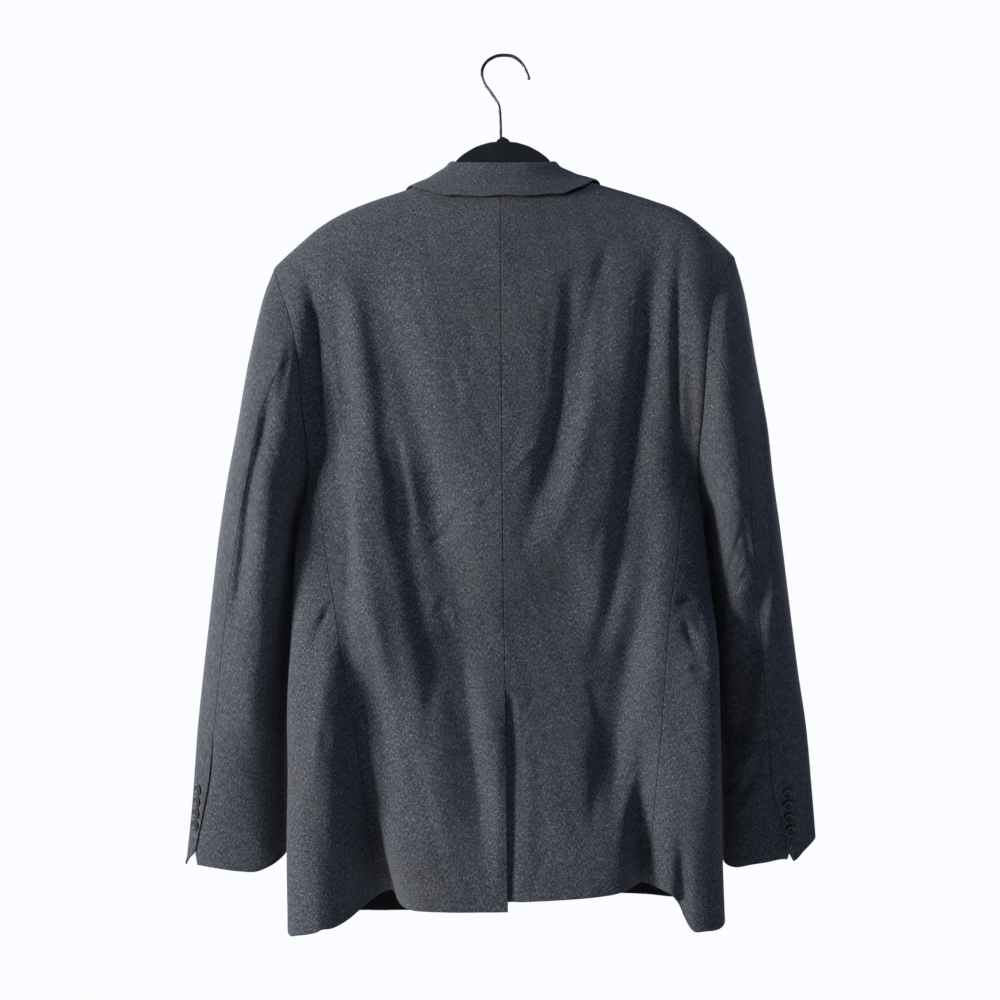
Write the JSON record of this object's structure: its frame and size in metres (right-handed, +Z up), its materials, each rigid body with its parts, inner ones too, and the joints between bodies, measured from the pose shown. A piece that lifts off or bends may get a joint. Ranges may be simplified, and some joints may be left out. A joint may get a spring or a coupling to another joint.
{
  "type": "single breasted blazer on hanger",
  "caption": "Single breasted wool blazer with notched lapels and a centre back vent, hanging open-hemmed on a slim flocked hanger with a wire hook.",
  "frame": {"origin": "inner crown of the hanger's hook, where it hangs on its pin or rail", "axes": "+Z up, the jacket's front faces -Y and its back +Y, and +X is the wearer's left"},
  "size_m": [0.713, 0.1863, 0.9695],
  "materials": {
    "charcoal_wool": "brushed wool flannel, charcoal",
    "dark_button": "satin, rimmed",
    "black_flock": "flocked, black",
    "dark_steel_wire": "dark plated wire"
  },
  "bodies": {
    "root": {"back_left": "charcoal_wool", "side_panel_left": "charcoal_wool", "front_left": "charcoal_wool", "lapel_left": "charcoal_wool", "sleeve_top_left": "charcoal_wool", "sleeve_under_left": "charcoal_wool", "back_right": "charcoal_wool", "side_panel_right": "charcoal_wool", "front_right": "charcoal_wool", "lapel_right": "charcoal_wool", "sleeve_top_right": "charcoal_wool", "sleeve_under_right": "charcoal_wool", "collar": "charcoal_wool", "cuff_button_left_1": "dark_button", "cuff_button_left_2": "dark_button", "cuff_button_left_3": "dark_button", "cuff_button_left_4": "dark_button", "cuff_button_right_1": "dark_button", "cuff_button_right_2": "dark_button", "cuff_button_right_3": "dark_button", "cuff_button_right_4": "dark_button", "front_button_1": "dark_button", "front_button_2": "dark_button", "hanger_body": "black_flock", "hanger_hook": "dark_steel_wire"}
  },
  "joints": []
}
